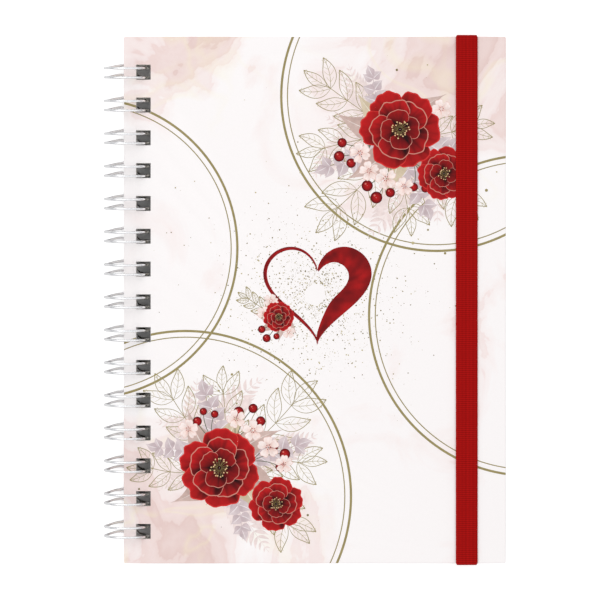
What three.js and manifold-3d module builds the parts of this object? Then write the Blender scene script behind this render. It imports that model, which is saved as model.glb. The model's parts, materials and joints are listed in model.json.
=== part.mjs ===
// A hardcover notebook bound with twin-loop wire and held shut by a flat elastic band.
// Millimetres. It lies closed on its back cover: +Z up, spine towards -X, head of the page towards +Y.
// Everything is laid out from the covers' spine edge (x = 0), the middle of their height (y = 0)
// and the outer face of the back cover (z = 0). The last lines move the origin under the middle.
import * as THREE from "three";
import { mergeVertices } from "three/addons/utils/BufferGeometryUtils.js";
import Module from "manifold-3d";

const wasm = await Module();
wasm.setup();

// Covers: greyboard in a printed wrap whose edges turn in under a lining
const coverWidth = 148;
const coverHeight = 204;
const boardThickness = 1.55;
const wrapThickness = 0.15;
const liningThickness = 0.15;
const turnInWidth = 12;
const liningMargin = 3;

// Leaves: bundles of a few leaves each, smaller than the covers on all sides
const leafThickness = 0.095;
const leavesPerBundle = 6;
const bundlesPerSection = 4;
const sectionNames = ["back", "middle", "front"];
const leafMargin = 2.5;
const bundleGap = 0.03;
const coverGap = 0.1;

// Twin-loop wire: each loop is a hairpin bent once round the punched edge
const wireDiameter = 1;
const loopPitch = 12.7;
const loopEndMargin = 12;
const loopRowShift = -0.7;
const loopInset = 1;
const hairpinSpacing = 3.6;
const hairpinTipSpacing = 2.5;
const hairpinRootSpacing = 5.5;
const rootBendRadius = 1.1;
const seamAngle = -78;
const tipOvershoot = 0.6;
const flareLength = 4.5;
const loopLean = 0.9;
const wireEndLength = 1.5;
const wireSides = 6;
const rootBendSteps = 3;
const legSteps = 18;
const tipBendSteps = 6;

// Punched holes
const punchMargin = 4.8;
const wireClearance = 0.4;
const wireSideClearance = 0.6;

// Room that lets an opened cover lie beside the closed one
const turnClearance = 0.5;
const openGap = 0.3;

// Elastic band: one strip round the notebook, both ends through slots in the back cover
const bandWidth = 8.5;
const bandThickness = 0.6;
const bandFromForeEdge = 15.2;
const bandGap = 0.05;
const bandBendRadius = 0.1;
const bandEndGap = 0.3;
const bandTurnUnder = 1;
const slotPastTurnIn = 3;
const slotClearance = 0.3;
const tuckedLength = 14;

// What follows from those sizes
const coverThickness = 2 * wrapThickness + boardThickness + liningThickness;
const bundleThickness = leafThickness * leavesPerBundle;
const bundleCount = sectionNames.length * bundlesPerSection;
const blockThickness = bundleCount * bundleThickness + (bundleCount - 1) * bundleGap;
const leavesBottom = coverThickness + coverGap;
const bookThickness = leavesBottom + blockThickness + coverGap + coverThickness;

// The loops' centre is high enough for the front cover to land on the back cover's level when it opens
const loopCentre = { x: loopInset, z: (bookThickness + coverThickness + openGap) / 2 };
const loopInnerRadius = Math.hypot(loopCentre.z, punchMargin + wireClearance - loopInset);
const loopRadius = loopInnerRadius + wireDiameter / 2;
const punchFarSide = loopInset + loopRadius + wireDiameter / 2 + wireClearance;
const punchHeight = hairpinSpacing + wireDiameter + 2 * wireSideClearance;
const leafSpineInset = 2 * loopInset + turnClearance;
const loopCount = Math.floor((coverHeight - 2 * loopEndMargin) / loopPitch) + 1;
const loopRows = Array.from(
  { length: loopCount },
  (_, i) => loopRowShift + (i - (loopCount - 1) / 2) * loopPitch,
);

const bandMiddle = coverWidth - bandFromForeEdge;
const bandStart = coverHeight / 2 - bandTurnUnder;
const slotOuterY = coverHeight / 2 - turnInWidth - slotPastTurnIn;
const slotLength = bandThickness + 2 * slotClearance;
const boardTop = wrapThickness + boardThickness;

const rad = THREE.MathUtils.degToRad;

const materials = {
  board: new THREE.MeshStandardMaterial({ color: 0x9c9488, roughness: 0.95 }),
  print: new THREE.MeshStandardMaterial({ color: 0xfaf1f0, roughness: 0.42 }),
  lining: new THREE.MeshStandardMaterial({ color: 0xf6f1ee, roughness: 0.8 }),
  leaf: new THREE.MeshStandardMaterial({ color: 0xfaf8f3, roughness: 0.9 }),
  wire: new THREE.MeshStandardMaterial({ color: 0xe6e7ea, roughness: 0.22, metalness: 1 }),
  elastic: new THREE.MeshStandardMaterial({ color: 0x9e1211, roughness: 0.85 }),
};

function piece(name, geometry, material) {
  const mesh = new THREE.Mesh(geometry, material);
  mesh.name = name;
  return mesh;
}

// A rectangle, as the outline of a sheet or of a hole in one.
function rectangle(outline, left, right, bottom, top) {
  outline.moveTo(left, bottom);
  outline.lineTo(right, bottom);
  outline.lineTo(right, top);
  outline.lineTo(left, top);
  outline.closePath();
  return outline;
}

// The outline of a sheet that stands back from the cover's edges by a margin.
function sheetOutline(margin, spineMargin = margin) {
  const half = coverHeight / 2 - margin;
  return rectangle(new THREE.Shape(), spineMargin, coverWidth - margin, -half, half);
}

// One punched hole for each loop, in line down the spine side.
function punch(shape) {
  const half = punchHeight / 2;
  for (const y of loopRows) {
    shape.holes.push(rectangle(new THREE.Path(), punchMargin, punchFarSide, y - half, y + half));
  }
  return shape;
}

// A flat sheet between two heights, which are set exactly so that sheets can lie face to face.
function sheet(shape, bottom, top) {
  const geometry = new THREE.ExtrudeGeometry(shape, { depth: 1, bevelEnabled: false });
  const position = geometry.attributes.position;
  for (let i = 0; i < position.count; i++) {
    position.setZ(i, position.getZ(i) > 0.5 ? top : bottom);
  }
  return geometry;
}

function toSolid(geometry) {
  const bare = geometry.clone().deleteAttribute("normal").deleteAttribute("uv");
  const merged = mergeVertices(bare, 1e-4);
  return new wasm.Manifold(
    new wasm.Mesh({
      numProp: 3,
      vertProperties: merged.attributes.position.array,
      triVerts: new Uint32Array(merged.index.array),
    }),
  );
}

function toGeometry(solid) {
  const mesh = solid.getMesh();
  const geometry = new THREE.BufferGeometry();
  geometry.setAttribute("position", new THREE.BufferAttribute(mesh.vertProperties, 3));
  geometry.setIndex(new THREE.BufferAttribute(mesh.triVerts, 1));
  const facetted = geometry.toNonIndexed();
  facetted.computeVertexNormals();
  return facetted;
}

function block(left, right, bottom, top, low, high) {
  return new THREE.BoxGeometry(right - left, top - bottom, high - low).translate(
    (left + right) / 2, (bottom + top) / 2, (low + high) / 2,
  );
}

// A cover: board, printed wrap and lining. Depths are measured from its outer face inwards,
// and outerZ is that face's height. inwards is 1 for the back cover, whose inside faces up.
function makeCover(name, outerZ, inwards, hasSlots) {
  const layer = (shape, from, to) => {
    const ends = [outerZ + inwards * from, outerZ + inwards * to];
    return sheet(shape, Math.min(...ends), Math.max(...ends));
  };
  const turnInTop = boardTop + wrapThickness;

  let board = toSolid(layer(punch(sheetOutline(wrapThickness)), wrapThickness, boardTop));
  const hull = toSolid(layer(punch(sheetOutline(0)), 0, turnInTop));
  const core = toSolid(layer(sheetOutline(wrapThickness), wrapThickness, boardTop));
  const window = toSolid(layer(sheetOutline(turnInWidth), boardTop, turnInTop + wrapThickness));
  let wrap = hull.subtract(core).subtract(window);
  const padding = toSolid(layer(sheetOutline(turnInWidth), boardTop, turnInTop));
  const facing = toSolid(layer(punch(sheetOutline(liningMargin)), turnInTop, coverThickness));
  const lining = facing.add(padding);

  if (hasSlots) {
    for (const side of [1, -1]) {
      board = board.subtract(slotCutter(side)).subtract(pocketCutter(side));
      wrap = wrap.subtract(slotCutter(side));
    }
  }

  const cover = new THREE.Group();
  cover.add(piece(name + "_cover_board", toGeometry(board), materials.board));
  cover.add(piece(name + "_cover_wrap", toGeometry(wrap), materials.print));
  cover.add(piece(name + "_cover_lining", toGeometry(lining), materials.lining));
  return cover;
}

// A cut through the back cover's board for a band end, from near the edge inwards.
// side is 1 at the head and -1 at the tail, and from and to are distances from the middle.
function bandCutter(side, from, to, bottom) {
  const half = bandWidth / 2 + slotClearance;
  const low = Math.min(side * from, side * to);
  const high = Math.max(side * from, side * to);
  return toSolid(
    block(bandMiddle - half, bandMiddle + half, low, high, bottom, boardTop + wrapThickness),
  );
}

// The slot goes right through, under the lining.
function slotCutter(side) {
  return bandCutter(side, slotOuterY, slotOuterY - slotLength, -wrapThickness);
}

// A shallow pocket in the board's inner face, where the tucked end is glued flat.
function pocketCutter(side) {
  const floor = boardTop - bandThickness - bandGap;
  return bandCutter(
    side, slotOuterY - slotLength / 2, slotOuterY - slotLength - tuckedLength, floor,
  );
}

// The leaves lie in sections that turn one after another, each a few bundles thick.
function makeSection(name, sectionIndex) {
  const section = new THREE.Group();
  const outline = punch(sheetOutline(leafMargin, leafSpineInset));
  for (let i = 0; i < bundlesPerSection; i++) {
    const number = sectionIndex * bundlesPerSection + i;
    const bottom = leavesBottom + number * (bundleThickness + bundleGap);
    const bundle = sheet(outline, bottom, bottom + bundleThickness);
    section.add(piece(`${name}_leaves_${i + 1}`, bundle, materials.leaf));
  }
  return section;
}

// The wire's centre line runs straight between stations, which lie closest in the bends.
class StationCurve extends THREE.Curve {
  constructor(stations) {
    super();
    this.stations = stations;
  }

  getPointAt(u, target = new THREE.Vector3()) {
    const last = this.stations.length - 1;
    const place = u * last;
    const i = Math.min(Math.floor(place), last - 1);
    return target.lerpVectors(this.stations[i], this.stations[i + 1], place - i);
  }

  // At a station the section halves the angle between the two stretches that meet there.
  getTangentAt(u, target = new THREE.Vector3()) {
    const last = this.stations.length - 1;
    const i = Math.round(u * last);
    const here = this.stations[i];
    const before = this.stations[Math.max(i - 1, 0)];
    const after = this.stations[Math.min(i + 1, last)];
    const incoming = here.clone().sub(before).normalize();
    const outgoing = after.clone().sub(here).normalize();
    return target.addVectors(incoming, outgoing).normalize();
  }
}

// A place on the wire laid flat: along is the way round the loop from the seam, and across the way
// down the spine. Rolled up, along becomes the angle from the seam over the spine to the covers.
// The loops lean a little, so that behind the back cover they lie nearer the head than in front.
function rollUp([along, across]) {
  const angle = rad(seamAngle) - along / loopRadius;
  return new THREE.Vector3(
    loopCentre.x + loopRadius * Math.cos(angle),
    across - (loopLean / 2) * Math.sin(angle),
    loopCentre.z + loopRadius * Math.sin(angle),
  );
}

// How far each leg of a hairpin lies from its middle line: wide at the seam, narrow at the tip.
function legOffset(along, tipStart) {
  const { smoothstep } = THREE.MathUtils;
  const widening = 1 - smoothstep(along, rootBendRadius, flareLength);
  const narrowing = smoothstep(along, tipStart - flareLength, tipStart);
  const spacing =
    hairpinSpacing +
    widening * (hairpinRootSpacing - hairpinSpacing) -
    narrowing * (hairpinSpacing - hairpinTipSpacing);
  return spacing / 2;
}

// One hairpin laid flat: off the seam, along the loop, a tight bend at the tip, and back.
function hairpin(y) {
  const tipRadius = hairpinTipSpacing / 2;
  const tipStart = 2 * Math.PI * loopRadius + tipOvershoot - tipRadius;
  const rootOffset = legOffset(0, tipStart) + rootBendRadius;

  const leg = [];
  for (let i = 0; i < rootBendSteps; i++) {
    const turn = (i / rootBendSteps) * (Math.PI / 2);
    leg.push([
      rootBendRadius * (1 - Math.cos(turn)),
      rootBendRadius * Math.sin(turn) - rootOffset,
    ]);
  }
  for (let i = 0; i <= legSteps; i++) {
    const along = THREE.MathUtils.lerp(rootBendRadius, tipStart, i / legSteps);
    leg.push([along, -legOffset(along, tipStart)]);
  }

  const bend = [];
  for (let i = 1; i < tipBendSteps; i++) {
    const turn = (i / tipBendSteps) * Math.PI;
    bend.push([tipStart + tipRadius * Math.sin(turn), -tipRadius * Math.cos(turn)]);
  }
  const back = leg.map(([along, across]) => [along, -across]).reverse();
  return [...leg, ...bend, ...back].map(([along, across]) => [along, y + across]);
}

// The least distance between the wire's surface and another stretch of it.
function leastGap(stations) {
  const spacing = wireDiameter / 4;
  const apart = 4 * wireDiameter;
  const points = [];
  for (let i = 0; i + 1 < stations.length; i++) {
    const steps = Math.ceil(stations[i].distanceTo(stations[i + 1]) / spacing);
    for (let k = 0; k < steps; k++) {
      points.push(new THREE.Vector3().lerpVectors(stations[i], stations[i + 1], k / steps));
    }
  }
  let least = Infinity;
  for (let i = 0; i < points.length; i++) {
    for (let j = i + Math.ceil(apart / spacing); j < points.length; j++) {
      least = Math.min(least, points[i].distanceToSquared(points[j]));
    }
  }
  return Math.sqrt(least) - wireDiameter;
}

// One continuous wire: a row of hairpins joined along the seam, with a short cut end at each side.
function makeWire() {
  const flat = loopRows.flatMap(hairpin);
  const [, firstAcross] = flat[0];
  const [, lastAcross] = flat[flat.length - 1];
  const laidOut = [[0, firstAcross - wireEndLength], ...flat, [0, lastAcross + wireEndLength]];
  const stations = laidOut.map(rollUp);
  console.log(`least gap of the wire to itself: ${leastGap(stations).toFixed(2)} mm`);

  const section = new THREE.Shape();
  section.absarc(0, 0, wireDiameter / 2, 0, 2 * Math.PI);
  const geometry = new THREE.ExtrudeGeometry(section, {
    extrudePath: new StationCurve(stations),
    steps: stations.length - 1,
    curveSegments: wireSides / 2,
  });
  return piece("twin_loop_wire", geometry, materials.wire);
}

// A strip bent in the YZ plane, as wide as the band, from its outline in that plane.
function bandStrip(outline) {
  const geometry = new THREE.ExtrudeGeometry(outline, {
    depth: bandWidth, bevelEnabled: false, curveSegments: 3,
  });
  const upright = new THREE.Matrix4().makeBasis(
    new THREE.Vector3(0, 1, 0), new THREE.Vector3(0, 0, 1), new THREE.Vector3(1, 0, 0),
  );
  return geometry.applyMatrix4(upright).translate(bandMiddle - bandWidth / 2, 0, 0);
}

// The stretched part: up the head edge, down the front cover and round the tail edge.
function makeBand() {
  const quarter = Math.PI / 2;
  const inner = {
    y: coverHeight / 2 + bandGap,
    low: -bandGap,
    high: bookThickness + bandGap,
    radius: bandBendRadius,
  };
  const outer = {
    y: inner.y + bandThickness,
    low: inner.low - bandThickness,
    high: inner.high + bandThickness,
    radius: inner.radius + bandThickness,
  };
  const outline = new THREE.Shape();
  const bend = (edge, side, level, from, to, clockwise) => {
    const height = level === "low" ? edge.low + edge.radius : edge.high - edge.radius;
    outline.absarc(side * (edge.y - edge.radius), height, edge.radius, from, to, clockwise);
  };
  outline.moveTo(-bandStart, outer.low);
  bend(outer, -1, "low", 3 * quarter, 2 * quarter, true);
  bend(outer, -1, "high", 2 * quarter, quarter, true);
  bend(outer, 1, "high", quarter, 0, true);
  bend(outer, 1, "low", 0, -quarter, true);
  outline.lineTo(bandStart, outer.low);
  outline.lineTo(bandStart, inner.low);
  bend(inner, 1, "low", -quarter, 0, false);
  bend(inner, 1, "high", 0, quarter, false);
  bend(inner, -1, "high", quarter, 2 * quarter, false);
  bend(inner, -1, "low", 2 * quarter, 3 * quarter, false);
  outline.lineTo(-bandStart, inner.low);
  outline.closePath();
  return piece("elastic_band", bandStrip(outline), materials.elastic);
}

// A fixed end: flat under the cover, up through the slot, and flat again in the pocket.
function makeBandEnd(name, side) {
  const footTip = bandStart - bandEndGap;
  const riserOuter = slotOuterY - slotClearance;
  const riserInner = riserOuter - bandThickness;
  const tuckedTip = slotOuterY - slotLength - tuckedLength + slotClearance;
  const [footBottom, footTop] = [-bandGap - bandThickness, -bandGap];
  const tuckedBottom = boardTop - bandThickness;
  const corners = [
    [footTip, footBottom], [footTip, footTop], [riserOuter, footTop], [riserOuter, boardTop],
    [tuckedTip, boardTop], [tuckedTip, tuckedBottom], [riserInner, tuckedBottom],
    [riserInner, footBottom],
  ];
  const outline = new THREE.Shape(corners.map(([y, z]) => new THREE.Vector2(side * y, z)));
  return piece(name, bandStrip(outline), materials.elastic);
}

const notebook = new THREE.Group();
notebook.add(makeCover("back", 0, 1, true));
notebook.add(makeCover("front", bookThickness, -1, false));
sectionNames.forEach((name, index) => notebook.add(makeSection(name, index)));
notebook.add(makeWire());
notebook.add(makeBand());
notebook.add(makeBandEnd("elastic_end_head", 1));
notebook.add(makeBandEnd("elastic_end_tail", -1));

// The origin goes under the middle of the whole notebook, at the height of its lowest point.
const extent = new THREE.Box3().setFromObject(notebook);
const middle = extent.getCenter(new THREE.Vector3());
notebook.position.set(-middle.x, -middle.y, -extent.min.z);

export default notebook;
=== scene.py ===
import json
import math
import random

import bpy
import numpy as np
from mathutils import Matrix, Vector
from mathutils.geometry import delaunay_2d_cdt


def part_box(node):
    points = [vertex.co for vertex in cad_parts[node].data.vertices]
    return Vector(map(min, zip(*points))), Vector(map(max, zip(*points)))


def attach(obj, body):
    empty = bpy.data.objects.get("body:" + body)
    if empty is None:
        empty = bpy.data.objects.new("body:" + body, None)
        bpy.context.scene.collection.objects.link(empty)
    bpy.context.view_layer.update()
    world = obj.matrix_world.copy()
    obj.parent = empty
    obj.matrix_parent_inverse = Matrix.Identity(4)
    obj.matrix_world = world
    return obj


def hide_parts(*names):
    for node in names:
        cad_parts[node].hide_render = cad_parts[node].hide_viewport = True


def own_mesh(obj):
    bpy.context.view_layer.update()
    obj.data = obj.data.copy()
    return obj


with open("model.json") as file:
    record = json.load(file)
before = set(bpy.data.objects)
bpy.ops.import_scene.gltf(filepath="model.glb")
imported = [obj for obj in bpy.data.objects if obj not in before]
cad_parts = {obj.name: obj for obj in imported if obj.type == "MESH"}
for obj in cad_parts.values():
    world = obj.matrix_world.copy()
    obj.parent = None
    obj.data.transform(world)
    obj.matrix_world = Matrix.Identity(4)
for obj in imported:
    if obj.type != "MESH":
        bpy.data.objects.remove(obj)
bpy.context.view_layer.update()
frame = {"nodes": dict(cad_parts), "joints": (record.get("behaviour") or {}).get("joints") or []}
mm = 0.001


# Small helpers

white = (1, 1, 1, 1)


def toLinear(hexColour):
    values = [int(hexColour[i:i + 2], 16) / 255 for i in (1, 3, 5)]
    return [v / 12.92 if v <= 0.04045 else ((v + 0.055) / 1.055) ** 2.4 for v in values] + [1.0]


def addNode(tree, kind, settings=None, inputs=None, stops=()):
    # inputs are values, sockets, or nodes whose first output is meant; stops are for a ramp
    node = tree.nodes.new("ShaderNode" + kind)
    for name, value in (settings or {}).items():
        setattr(node, name, value)
    for name, value in (inputs or {}).items():
        if isinstance(value, bpy.types.Node):
            value = value.outputs[0]
        if isinstance(value, bpy.types.NodeSocket):
            tree.links.new(value, node.inputs[name])
        else:
            node.inputs[name].default_value = value
    if stops:
        elements = node.color_ramp.elements
        while len(elements) < len(stops):
            elements.new(0.5)
        for element, (position, hexColour) in zip(elements, stops):
            element.position = position
            element.color = toLinear(hexColour)
    return node


def newMaterial(name):
    material = bpy.data.materials.new(name)
    material.use_nodes = True
    material.node_tree.nodes.clear()
    return material, material.node_tree


def finishMaterial(tree, shaderInputs):
    shader = addNode(tree, "BsdfPrincipled", inputs=shaderInputs)
    addNode(tree, "OutputMaterial", inputs={"Surface": shader})


def grained(tree, size, detail, roughness, stops, strength, depth):
    # shader inputs for a surface whose fine grain gives it both its tone and its relief
    grain = addNode(tree, "TexNoise", inputs={
        "Vector": addNode(tree, "TexCoord").outputs["Object"],
        "Scale": 1 / size, "Detail": detail, "Roughness": roughness,
    })
    return {
        "Base Color": addNode(tree, "ValToRGB", inputs={"Fac": grain}, stops=stops),
        "Normal": addNode(tree, "Bump", inputs={
            "Strength": strength, "Distance": depth, "Height": grain,
        }),
    }


def makeGrained(name, finish, **grain):
    material, tree = newMaterial(name)
    finishMaterial(tree, {**grained(tree, **grain), **finish})
    return material


def mottled(tree, colour, size, detail, least, most):
    # the colour as unevenly as ink takes to paper, and the grain that makes it so, whose values
    # lie mostly between 0.3 and 0.7
    grain = addNode(tree, "TexNoise", inputs={
        "Vector": addNode(tree, "TexCoord").outputs["Object"], "Scale": 1 / size, "Detail": detail,
    })
    level = addNode(tree, "MapRange", inputs={
        "Value": grain, "From Min": 0.3, "From Max": 0.7, "To Min": least, "To Max": most,
    })
    return addNode(tree, "VectorMath", {"operation": "SCALE"}, {0: colour, "Scale": level}), grain


def makeActive(*pieces):
    # only these pieces are selected, and the first is the active one
    bpy.ops.object.select_all(action="DESELECT")
    for piece in pieces:
        piece.select_set(True)
    if pieces:
        bpy.context.view_layer.objects.active = pieces[0]


def addObject(name, data):
    made = bpy.data.objects.new(name, data)
    bpy.context.scene.collection.objects.link(made)
    return made


def applyModifiers(piece):
    makeActive(piece)
    for modifier in list(piece.modifiers):
        bpy.ops.object.modifier_apply(modifier=modifier.name)


def shadeSmooth(piece, degrees):
    makeActive(piece)
    bpy.ops.object.shade_smooth_by_angle(angle=math.radians(degrees))


def dress(piece, *materials):
    piece.data.materials.clear()
    for material in materials:
        piece.data.materials.append(material)


def settle(piece, body, replaced=()):
    # the piece's place goes into its mesh, and the piece moves with its body
    makeActive(piece)
    bpy.ops.object.transform_apply(location=True, rotation=True, scale=True)
    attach(piece, body)
    if replaced:
        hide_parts(*replaced)


# What the frame gives: the punched holes, read from one of its leaves, and its pieces' boxes

def readPunching(node):
    corners = np.array([v.co for v in frame["nodes"][node].data.vertices]).round(6)
    xs = sorted(set(corners[:, 0]))
    rows = sorted(set(corners[:, 1]))[1:-1]
    return {"near": xs[1], "far": xs[2], "rows": list(zip(rows[0::2], rows[1::2]))}


punching = readPunching("front_leaves_1")
frontLow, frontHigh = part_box("front_cover_wrap")
backLow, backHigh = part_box("back_cover_wrap")
bandLow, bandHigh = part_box("elastic_band")
spineHinge = Vector(frame["joints"][0]["pos_m"])


# Camera, floor and light

studio = {
    "lens": 300.0,
    "farthestSeen": 20,
    "viewWidth": 232.3 * mm,         # what the picture's width takes in at the cover
    "aimFromCoverMiddle": -5.75 * mm,
    "skyLevel": 0.88,
    "mirroredSky": [(0.0, "#97999c"), (0.2, "#c4c6c8"), (0.5, "#ffffff")],
    "keyPower": 5.75,
    "keySize": 1.3,
    "keyPlace": (-0.9, 0.75, 1.5),
    "floorSize": 4.0,
    "floorBelow": 0.05 * mm,
    "floorColour": "#e9e9e9",
    "floorGlow": 0.55,               # added for the camera only, where the floor is open
    "openFrom": 0.05,                # how open it is where that glow starts, and where it is full
    "openTo": 0.35,
    "openWithin": 30 * mm,
}


def buildCamera():
    data = bpy.data.cameras.new("camera")
    data.lens = studio["lens"]
    data.clip_end = studio["farthestSeen"]
    camera = addObject("camera", data)
    distance = studio["viewWidth"] * data.lens / data.sensor_width
    aimX = (frontLow.x + frontHigh.x) / 2 + studio["aimFromCoverMiddle"]
    camera.location = (aimX, 0, frontHigh.z + distance)
    bpy.context.scene.camera = camera


def buildWorld():
    # even studio light, white to the eye, with a grey rim round the horizon for the wire to mirror
    world = bpy.data.worlds.new("studio")
    bpy.context.scene.world = world
    world.use_nodes = True
    tree = world.node_tree
    tree.nodes.clear()
    direction = addNode(tree, "TexCoord").outputs["Generated"]
    height = addNode(tree, "SeparateXYZ", inputs={"Vector": direction}).outputs["Z"]
    mirrored = addNode(tree, "ValToRGB", inputs={"Fac": height}, stops=studio["mirroredSky"])
    light, glossy, seen = (
        addNode(tree, "Background", inputs={"Color": colour, "Strength": level})
        for colour, level in ((white, studio["skyLevel"]), (mirrored, 1.0), (white, 1.0))
    )
    rays = addNode(tree, "LightPath").outputs
    lit = addNode(tree, "MixShader", inputs={0: rays["Is Glossy Ray"], 1: light, 2: glossy})
    mixed = addNode(tree, "MixShader", inputs={0: rays["Is Camera Ray"], 1: lit, 2: seen})
    addNode(tree, "OutputWorld", inputs={"Surface": mixed})


def buildKeyLight():
    data = bpy.data.lights.new("keyLight", "AREA")
    data.shape = "SQUARE"
    data.size = studio["keySize"]
    data.energy = studio["keyPower"]
    key = addObject("keyLight", data)
    key.location = studio["keyPlace"]
    key.rotation_euler = (-Vector(studio["keyPlace"])).to_track_quat("-Z", "Y").to_euler()


def buildFloor():
    # matt white card: white to the camera in the open, dark where hardly any light reaches it
    material, tree = newMaterial("whiteCard")
    card = addNode(tree, "BsdfPrincipled", inputs={
        "Base Color": toLinear(studio["floorColour"]), "Roughness": 0.9, "Specular IOR Level": 0.1,
    })
    seen = addNode(tree, "LightPath").outputs["Is Camera Ray"]
    openness = addNode(tree, "AmbientOcclusion", {"samples": 8}, {
        "Distance": studio["openWithin"],
    }).outputs["AO"]
    lit = addNode(tree, "MapRange", inputs={
        "Value": openness, "From Min": studio["openFrom"], "From Max": studio["openTo"],
        "To Min": 0.0, "To Max": studio["floorGlow"],
    })
    glowing = addNode(tree, "Math", {"operation": "MULTIPLY"}, {0: lit, 1: seen})
    glow = addNode(tree, "Emission", inputs={"Color": white, "Strength": glowing})
    both = addNode(tree, "AddShader", inputs={0: card, 1: glow})
    addNode(tree, "OutputMaterial", inputs={"Surface": both})
    makeActive()
    place = (0, 0, -studio["floorBelow"])
    bpy.ops.mesh.primitive_plane_add(size=studio["floorSize"], location=place)
    floor = bpy.context.object
    floor.name = "studioFloor"
    dress(floor, material)


buildCamera()
buildWorld()
buildKeyLight()
buildFloor()
bpy.context.scene.view_settings.view_transform = "Standard"
print("camera, light and floor set")


# Covers: the board in its wrap, rounded where the paper folds over the board's edges

cover = {
    "foldRadius": 0.6 * mm,
    "foldSegments": 4,
    "punchEdge": 0.06 * mm,
    "punchSegments": 2,
    "sharpFrom": 60,                 # degrees
    "smoothTo": 35,                  # degrees
    "clearOfEdge": 2 * mm,           # what stands upright this far in is the wall of a hole
    "upright": 0.3,
    "slotRoom": 0.3 * mm,
    "slottedStrip": 0.6 * mm,
    "standsOut": 0.01 * mm,          # what reaches further below the back cover is outside it
}

wash = {
    "pools": ((50, 95, 85), (-50, -90, 80), (-55, 105, 55)),     # x, y and reach in mm
    "poolMiddle": 10 * mm,
    "poolWeight": 0.33,
    "clouds": {"Scale": 1 / (42 * mm), "Detail": 5.0, "Roughness": 0.52, "Distortion": 0.9},
    "tones": [
        (0.59, "#fefafa"), (0.67, "#fcf3f2"), (0.682, "#f8e9e7"), (0.72, "#f9edeb"),
        (0.755, "#f6e6e4"), (0.767, "#f0dad6"), (0.81, "#f3e0dd"), (0.855, "#f0dbd7"),
        (0.867, "#e8cec9"), (0.94, "#eed8d4"),
    ],
    "streaks": {"Scale": 1 / (30 * mm), "Detail": 2.0, "Distortion": 0.9},
    "glints": [(0.5, "#000000"), (0.555, "#8a8a8a"), (0.6, "#000000")],
    "glintColour": "#fbf3c9",
    "grainSize": 0.9 * mm,
    "grainDepth": 0.02 * mm,
}


def makeLaminatedPrint():
    # offset-printed paper under a satin film: a pale blush wash that gathers in three pools, with
    # soft yellow glints in them
    material, tree = newMaterial("satinLaminatedPaper")
    place = addNode(tree, "TexCoord").outputs["Object"]
    pooled = 0.0
    for x, y, reach in wash["pools"]:
        away = addNode(tree, "VectorMath", {"operation": "DISTANCE"}, {
            0: place, 1: (x * mm, y * mm, frontHigh.z),
        }).outputs["Value"]
        pool = addNode(tree, "MapRange", {"interpolation_type": "SMOOTHSTEP"}, {
            "Value": away, "From Min": wash["poolMiddle"], "From Max": reach * mm,
            "To Min": 1.0, "To Max": 0.0,
        })
        pooled = addNode(tree, "Math", {"operation": "MAXIMUM"}, {0: pool, 1: pooled})
    clouds, streaks = (
        addNode(tree, "TexNoise", inputs={"Vector": place, **wash[noise]})
        for noise in ("clouds", "streaks")
    )
    wet = addNode(tree, "Math", {"operation": "MULTIPLY_ADD"}, {
        0: pooled, 1: wash["poolWeight"], 2: clouds,
    })
    colour = addNode(tree, "ValToRGB", inputs={"Fac": wet}, stops=wash["tones"])
    glint = addNode(tree, "ValToRGB", inputs={"Fac": streaks}, stops=wash["glints"])
    glinting = addNode(tree, "Math", {"operation": "MULTIPLY"}, {0: glint, 1: pooled})
    colour = addNode(tree, "Mix", {"data_type": "RGBA"}, {
        "Factor": glinting, 6: colour, 7: toLinear(wash["glintColour"]),
    }).outputs[2]
    colour, grain = mottled(tree, colour, wash["grainSize"], detail=3.0, least=0.988, most=1.0)
    relief = addNode(tree, "Bump", inputs={
        "Strength": 0.12, "Distance": wash["grainDepth"], "Height": grain,
    })
    finishMaterial(tree, {
        "Base Color": colour, "Normal": relief,
        "Roughness": 0.45, "IOR": 1.49, "Specular IOR Level": 0.2,
    })
    return material


def boxBetween(low, high):
    makeActive()
    bpy.ops.mesh.primitive_cube_add(size=1, location=(Vector(low) + Vector(high)) / 2)
    made = bpy.context.object
    made.scale = Vector(high) - Vector(low)
    bpy.ops.object.transform_apply(location=True, rotation=True, scale=True)
    return made


def punch(piece, low, high, extra=()):
    # one box for each hole, and for what else goes through, joined into one cutter
    low, high = low.z - mm, high.z + mm
    boxes = [boxBetween((punching["near"], bottom, low), (punching["far"], top, high))
             for bottom, top in punching["rows"]]
    boxes += [boxBetween((*first, low), (*last, high)) for first, last in extra]
    makeActive(*boxes)
    bpy.ops.object.join()
    cut = piece.modifiers.new("punch", "BOOLEAN")
    cut.operation = "DIFFERENCE"
    cut.solver = "EXACT"
    cut.object = boxes[0]
    applyModifiers(piece)
    bpy.data.objects.remove(boxes[0])


def paintCutWalls(slab, low, high):
    # the cut walls inside the holes show the board between the two papers
    inset = cover["clearOfEdge"]
    for face in slab.data.polygons:
        middle = face.center
        inside = (low.x + inset < middle.x < high.x - inset
                  and low.y + inset < middle.y < high.y - inset)
        if inside and abs(face.normal.z) < cover["upright"]:
            face.material_index = 1


def buildCover(side, low, high, slots=()):
    slab = boxBetween(low, high)
    slab.name = side + "Cover"
    fold = slab.modifiers.new("fold", "BEVEL")
    fold.width = cover["foldRadius"]
    fold.segments = cover["foldSegments"]
    applyModifiers(slab)
    punch(slab, low, high, slots)
    crisp = slab.modifiers.new("crisp", "BEVEL")
    crisp.width = cover["punchEdge"]
    crisp.segments = cover["punchSegments"]
    crisp.limit_method = "ANGLE"
    crisp.angle_limit = math.radians(cover["sharpFrom"])
    applyModifiers(slab)
    dress(slab, laminatedPrint, greyboard)
    paintCutWalls(slab, low, high)
    shadeSmooth(slab, cover["smoothTo"])
    body = side + "_cover"
    settle(slab, body, [body + "_wrap", body + "_board"])
    dress(frame["nodes"][body + "_lining"], liningPaper)


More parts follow.
